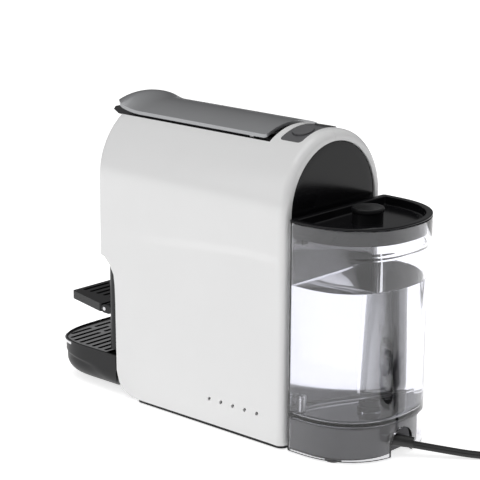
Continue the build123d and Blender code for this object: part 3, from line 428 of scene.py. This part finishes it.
def lever_cover():
    columns = 28
    rings = []
    for y, z, lean in lever_crest():
        width = lever_width(y)
        top, under = [], []
        for column in range(columns + 1):
            x = width * sin(pi / 2 * (2 * column / columns - 1))
            sag = BOW - sqrt(BOW**2 - x**2)
            for row, sink in ((top, sag), (under, sag + SKIN)):
                row.append((x, y - sink * sin(lean), z - sink * cos(lean)))
        rings.append(top + under[::-1])
    verts, faces = stack(rings)
    obj = build("lever_skin", verts, faces, SILVER_PAINT, "lever", 40)
    bevel(obj, 0.7, 3, 45)
    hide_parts("lever_cover")


lever_cover()

# ---------------------------------------------------------------- water tank, water, lid
TANK_LOW, TANK_HIGH = box_mm("water_tank")
TANK_FRONT = TANK_LOW.y
TANK_MID = 106.3
PLAN_POWER = 2 / 2.3
BODY_DEPTH = TANK_HIGH.y - 3.5 - TANK_MID
TANK_TOP = TANK_HIGH.z
FLOOR_TOP = 30.0
SHOULDER = 151.0
WATER_TOP = 126.0


def tank_ring(inset, z, collar, steps=112):
    """One level of the tank's plan. collar runs from 0, the body, to 1, the wider collar."""
    half = TANK_HIGH.x - 0.3 * (1 - collar) - inset
    depth = BODY_DEPTH + 3.5 * collar - inset
    front = TANK_FRONT + inset
    corner = max(3.2 - inset, 0.6)
    points = []
    for step in range(steps + 1):
        angle = pi * step / steps
        across = copysign(abs(cos(angle)) ** PLAN_POWER, cos(angle))
        points.append((half * across, TANK_MID + depth * abs(sin(angle)) ** PLAN_POWER, z))
    for centre_x, first in ((-half + corner, pi), (half - corner, 1.5 * pi)):
        for step in range(7):
            angle = first + pi / 2 * step / 6
            points.append((centre_x + corner * cos(angle), front + corner + corner * sin(angle), z))
    return points


def water_tank():
    profile = soften([
        (7, 27.6, 0, 0), (2.5, 27.6, 0, 2), (2.5, 1.5, 0, 0.8), (0, 1.5, 0, 0.8), (0, SHOULDER, 0, 1.6),
        (0, SHOULDER + 3.5, 1, 1.6), (0, TANK_TOP, 1, 0.9), (2.5, TANK_TOP, 1, 0.9),
        (2.5, SHOULDER + 3.5, 1, 1.6),
        (2.5, SHOULDER, 0, 1.6), (2.5, FLOOR_TOP, 0, 5), (9, FLOOR_TOP, 0, 0)], 5)
    verts, faces = stack([tank_ring(*level) for level in profile])
    obj = build("tank_clear", verts, faces, CLEAR, "water_tank", 40)
    outline = [(2 + 12 * cos(pi * k / 16), 10 + 12 * sin(pi * k / 16)) for k in range(17)]
    arch = prism("arch_cut", outline + [(-10, -4), (14, -4)], 140, 175, "Y")
    outlet = prism("outlet_cut", [(6.6 * cos(pi * k / 20), 121 + 6.6 * sin(pi * k / 20)) for k in range(40)],
                   20, 40, "Z")
    carve(obj, [arch, outlet])
    shade(obj.data, 40)
    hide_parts("water_tank")


def water():
    """Water fills into the wall by half its gap, so that the light meets wall and water together."""
    profile = soften([(9, 29.4, 0, 0), (2.1, 29.4, 0, 5), (2.1, WATER_TOP + 0.7, 0, 0.3),
                      (4.5, WATER_TOP, 0, 1.5),
                      (9, WATER_TOP, 0, 0)], 5)
    verts, faces = stack([tank_ring(*level) for level in profile])
    build("tank_water", verts, faces, WATER, "water_tank", 60)


def tank_lid():
    low, high = box_mm("tank_lid")
    gap = 2.5 + 0.4
    profile = soften([
        (gap + 8, 166, 1, 0), (gap + 1.7, 166, 1, 1), (gap + 1.7, low.z, 1, 0.5), (gap, low.z, 1, 0.5),
        (gap, TANK_TOP + 0.3, 1, 0.3), (0, TANK_TOP + 0.3, 1, 0.6), (0, high.z, 1, 0.9),
        (gap + 2, high.z, 1, 1.0),
        (gap + 2.6, 168, 1, 1.2), (gap + 8, 168, 1, 0)], 4)
    verts, faces = stack([tank_ring(*level) for level in profile])
    obj = build("lid_pan", verts, faces, GLOSS_BLACK, "tank_lid", 40)
    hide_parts("tank_lid")


def turned(name, profile, centre, material, body, record_slot, steps=64):
    """Round piece about an upright axis through centre. The profile is (radius, z, rounding)."""
    rings = []
    for radius, z in soften(profile):
        rings.append([(centre[0] + radius * cos(2 * pi * k / steps),
                       centre[1] + radius * sin(2 * pi * k / steps), z)
                      for k in range(steps)])
    verts, faces = stack(rings)
    return build(name, verts, faces, material, body, 40)


def lid_knob():
    low, high = box_mm("lid_knob")
    centre = (low + high) / 2
    radius = (high.x - low.x) / 2
    obj = turned("knob_lid", [(radius - 0.8, low.z, 0), (radius - 0.8, high.z - 3.6, 0.6),
                              (radius, high.z - 3, 0.5),
                              (radius, high.z, 1.1), (radius - 2, high.z, 0.8),
                              (radius - 4.5, high.z - 0.5, 2),
                              (1, high.z - 0.7, 0)], centre, SATIN_BLACK, "tank_lid", "gloss_black")
    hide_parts("lid_knob")


def tank_valve():
    low, high = box_mm("tank_valve")
    centre = (low + high) / 2
    radius = (high.x - low.x) / 2
    obj = turned("valve_cap", [(radius - 0.6, low.z, 0), (radius, low.z + 0.6, 0.4),
                               (radius, high.z - 4.6, 0.4),
                               (radius - 0.9, high.z - 4.2, 0.3), (radius - 0.9, high.z, 0.9),
                               (2.6, high.z, 0.5),
                               (2.2, high.z - 1.2, 0.4), (0.5, high.z - 1.2, 0)], centre, SATIN_BLACK,
                 "tank_valve", "satin_black")
    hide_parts("tank_valve")


water_tank()
water()
tank_lid()
lid_knob()
tank_valve()

# ---------------------------------------------------------------- drip tray
TRAY_LOW, TRAY_HIGH = box_mm("drip_tray")
TRAY_STEP_Y = -84.6
TRAY_INNER = 51.5
TRAY_POWER = 2 / 3.1
FLANK = [(-150, 22.2), (-137, 21.1), (-119.6, 19.5), (-111.2, 17.6),
         (-104.8, 13.5), (-99.6, 10), (-93.7, 8.2)]


def tray_ring(inset, z, back_inset=None):
    """Boat-shaped plan ahead of the shell, narrower behind it."""
    back_inset = inset if back_inset is None else back_inset
    half = TRAY_HIGH.x - inset
    middle = TRAY_LOW.y + 47
    depth = 47 - inset
    inner = TRAY_INNER - inset
    points = []
    for step in range(65):
        angle = pi + pi * step / 64
        across = copysign(abs(cos(angle)) ** TRAY_POWER, cos(angle))
        points.append((half * across, middle - depth * abs(sin(angle)) ** TRAY_POWER, z))
    for y in (-110, -104, -98, -92, TRAY_STEP_Y - inset):
        points.append((half, y, z))
    for y in (TRAY_STEP_Y - inset + 0.2, TRAY_HIGH.y - back_inset):
        points.append((inner, y, z))
    for y in (TRAY_HIGH.y - back_inset, TRAY_STEP_Y - inset + 0.2):
        points.append((-inner, y, z))
    for y in (TRAY_STEP_Y - inset, -92, -98, -104, -110):
        points.append((-half, y, z))
    return points


def flank_step(point, inset):
    """Lower flank set in a little below the line that curves down towards the shell."""
    x, y, z = point
    line = table(FLANK, y)
    below = ramp(line - z, -0.6, 0.9)
    away = hypot(x, y + 116) or 1.0
    pull = 0.9 * below * (1 - ramp(y, -90, -86))
    if y > -116:
        return (x - copysign(pull, x), y, z)
    return (x - pull * x / away, y - pull * (y + 116) / away, z)


def drip_tray():
    top = TRAY_HIGH.z
    bottom = TRAY_LOW.z
    levels = [(1.2, 29.6), (1.2, top - 0.4), (1.0, top), (0.3, top), (0, top - 0.35), (0, 27), (0, 23)]
    levels += [(0, z) for z in (22, 21.2, 20.5, 19.8, 19, 18, 17)]
    curl = 13.0
    levels += [(curl * (1 - cos(a)), bottom + curl - curl * sin(a))
               for a in (radians(8 * k) for k in range(1, 12))]
    rings = [[flank_step(point, inset) for point in tray_ring(inset, z, 0)] for inset, z in levels]
    room = [(1.2, 29.6), (3.2, 29.6), (3.2, 18)]
    room += [(3.2 + 10 * (1 - cos(a)), bottom + 2 + 10 - 10 * sin(a))
             for a in (radians(15 * k) for k in range(1, 7))]
    inner = [tray_ring(inset, z, 3.2) for inset, z in reversed(room)]
    verts, faces = stack(inner + rings)
    obj = build("tray_bowl", verts, faces, SATIN_BLACK, "drip_tray", 30)
    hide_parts("drip_tray")


drip_tray()

# ---------------------------------------------------------------- mains lead
CORD_ROUTE = [(-2.5, 166, 10.5), (-14.8, 182.6, 7.5), (-31.5, 203.8, 3.6),
              (-51.2, 227.7, 3.5), (-70.3, 249.9, 3.5)]
TAIL_ROUTE = [(-44.8, 317.6, 10.5), (-29.2, 320.1, 12.4), (-14, 315.5, 14.4), (-2.3, 305.1, 16.3),
              (4.7, 288.1, 18.5), (3.7, 272.2, 20.5), (-4.6, 258.1, 22.5), (-17.9, 249.5, 24.4),
              (-33.6, 247.4, 26.3)]
COIL_X, COIL_Y = -38.4, 277.2
COIL_TURNS = 2.3378
COIL_START = radians(220.6)
COIL_REACH = [(0, 42), (1, 35), (1.5, 32.4), (1.8, 34), (COIL_TURNS, 40.9)]
COIL_LIFT = [(0, 3.5), (1, 3.5), (1.5, 7), (1.8, 9.2), (COIL_TURNS, 10.5)]
CORD_WIDTH = 7.0
CORD_THICK = 4.4


def cord_points():
    points = [Vector(point) for point in CORD_ROUTE]
    count = round(COIL_TURNS * 16)
    for step in range(1, count):
        turns = COIL_TURNS * step / count
        angle = COIL_START - 2 * pi * turns
        reach = table(COIL_REACH, turns)
        points.append(Vector((COIL_X + reach * cos(angle), COIL_Y + reach * sin(angle),
                              table(COIL_LIFT, turns))))
    return points + [Vector(point) for point in TAIL_ROUTE]


def smooth_line(points, name):
    """Points of one NURBS spline through the route."""
    data = bpy.data.curves.new(name, "CURVE")
    data.dimensions = "3D"
    data.resolution_u = 6
    spline = data.splines.new("NURBS")
    spline.points.add(len(points) - 1)
    for control, point in zip(spline.points, points):
        control.co = (*(point * MM), 1)
    spline.order_u = 3
    spline.use_endpoint_u = True
    obj = bpy.data.objects.new(name, data)
    mesh = bpy.data.meshes.new_from_object(obj)
    line = [vertex.co.copy() for vertex in mesh.vertices]
    bpy.data.objects.remove(obj)
    bpy.data.meshes.remove(mesh)
    return line


def cord_section():
    """Flat twin section with a groove on each face, its lower face a round lead's radius below the line."""
    centre = -CORD_WIDTH / 2 + CORD_THICK / 2
    lobe = CORD_THICK / 2
    outline = []
    for step in range(36):
        angle = 2 * pi * step / 36
        across = copysign(abs(cos(angle)) ** 0.62, cos(angle)) * CORD_WIDTH / 2
        dent = 0.55 * max(0.0, 1 - (across / 0.9) ** 2)
        up = copysign(abs(sin(angle)) ** 0.62, sin(angle)) * (lobe - dent)
        outline.append((across, centre + up))
    return outline


def mains_cord():
    line = smooth_line(cord_points(), "cord_line")
    section = cord_section()
    rings = []
    for index, point in enumerate(line):
        ahead = line[min(index + 1, len(line) - 1)] - line[max(index - 1, 0)]
        along = ahead.normalized()
        aside = along.cross(Vector((0, 0, 1))).normalized()
        upward = aside.cross(along)
        rings.append([point / MM + aside * a + upward * b for a, b in section])
    verts, faces = stack(rings)
    obj = build("lead", verts, faces, RUBBER, "chassis", 50)
    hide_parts("mains_cord", "cord_coil", "cord_tail")


mains_cord()

# ---------------------------------------------------------------- finishes of CAD pieces that show as they are
FINISHES = [
    (SATIN_BLACK, 0.5, ["capsule_container", "cup_platform", "brew_head", "lever_grip", "coffee_spout"]),
    (MATTE_BLACK, 0.3, ["base_plate", "bay_frame", "head_well", "lever_carrier", "lid_hook", "brew_carriage",
                        "tank_nipple", "flow_meter", "board_parts"]),
    (DOCK_GREY, 0.5, ["tank_dock"]),
    (PANEL_GREY, 0.3, ["button_panel", "button_long", "button_short"]),
    (CHROME, 0.35, ["drip_grille"]),
    (STEEL, 0.2, ["case_screws", "brew_frame", "guide_rods", "needles", "lever_pin", "outlet_screen",
                  "platform_pin", "level_posts", "pump"]),
    (CAST, 0.4, ["capsule_cage", "thermoblock"]),
    (RUBBER, 0.3, ["feet", "pump_mounts", "cord_gland", "plug_body"]),
    (SILICONE, 0.2, ["suction_hose", "feed_hose", "pressure_tube", "nipple_seal"]),
    (BOARD, 0.1, ["control_board", "button_board"]),
    (NICKEL, 0.2, ["plug_blades"]),
]
for material, edge, names in FINISHES:
    for name in names:
        node = NODES[name]
        node.data.materials.clear()
        node.data.materials.append(material)
        node.data.polygons.foreach_set("use_smooth", [True] * len(node.data.polygons))
        bevel(node, edge, 2, 40)

# ---------------------------------------------------------------- floor, light, camera
FLOOR_GLOW = 0.72
SKY_GLOW = 0.5
OVERHEAD_WATTS = 12
SIDE_WATTS = 5


def floor():
    mesh = bpy.data.meshes.new("floor")
    reach = 9.0
    mesh.from_pydata([(-reach, -reach, 0), (reach, -reach, 0), (reach, reach, 0), (-reach, reach, 0)], [],
                     [(0, 1, 2, 3)])
    obj = bpy.data.objects.new("floor", mesh)
    SCENE.collection.objects.link(obj)
    material, tree, shader = nodes_of("pale_floor")
    vary_colour(tree, shader, (0.93, 0.93, 0.93), 0.004, 2)
    shader.inputs["Roughness"].default_value = 0.6
    shader.inputs["Specular IOR Level"].default_value = 0.2
    shader.inputs["Emission Color"].default_value = (1, 1, 1, 1)
    shader.inputs["Emission Strength"].default_value = FLOOR_GLOW
    mesh.materials.append(material)


def soft_light(name, place, aim, size, power):
    data = bpy.data.lights.new(name, "AREA")
    data.shape = "RECTANGLE"
    data.size, data.size_y = size
    data.energy = power
    obj = bpy.data.objects.new(name, data)
    obj.location = place
    obj.rotation_euler = (Vector(aim) - Vector(place)).to_track_quat("-Z", "Y").to_euler()
    SCENE.collection.objects.link(obj)


def sky():
    world = bpy.data.worlds.new("studio")
    SCENE.world = world
    world.use_nodes = True
    tree = world.node_tree
    back = tree.nodes["Background"]
    where = tree.nodes.new("ShaderNodeTexCoord")
    split = tree.nodes.new("ShaderNodeSeparateXYZ")
    shade_of = tree.nodes.new("ShaderNodeValToRGB")
    shade_of.color_ramp.elements[0].position = 0.0
    shade_of.color_ramp.elements[0].color = (0.05, 0.05, 0.055, 1)
    shade_of.color_ramp.elements[1].position = 0.75
    shade_of.color_ramp.elements[1].color = (1, 1, 1, 1)
    tree.links.new(where.outputs["Generated"], split.inputs["Vector"])
    tree.links.new(split.outputs["Z"], shade_of.inputs["Fac"])
    tree.links.new(shade_of.outputs["Color"], back.inputs["Color"])
    back.inputs["Strength"].default_value = SKY_GLOW


def camera():
    azimuth, elevation, roll = radians(132.26), radians(14.87), radians(0.33)
    back = Vector((sin(azimuth) * cos(elevation), -cos(azimuth) * cos(elevation), sin(elevation)))
    right = (-back).cross(Vector((0, 0, 1))).normalized()
    upward = right.cross(-back)
    turned_right = cos(roll) * right + sin(roll) * upward
    turned_up = -sin(roll) * right + cos(roll) * upward
    data = bpy.data.cameras.new("camera")
    data.sensor_width = 36
    data.lens = 36 * 1811.1 / 480
    data.clip_end = 50
    obj = bpy.data.objects.new("camera", data)
    obj.matrix_world = Matrix.Translation((0.9904, 0.8977, 0.4870)) @ Matrix(
        (turned_right, turned_up, back)).transposed().to_4x4()
    SCENE.collection.objects.link(obj)
    SCENE.camera = obj


floor()
sky()
soft_light("overhead", (0.2, 0.0, 1.9), (0, 0, 0.1), (1.6, 1.6), OVERHEAD_WATTS)
soft_light("side", (1.9, -0.9, 1.1), (0, -0.02, 0.12), (1.4, 1.4), SIDE_WATTS)
camera()
SCENE.view_settings.view_transform = "Standard"
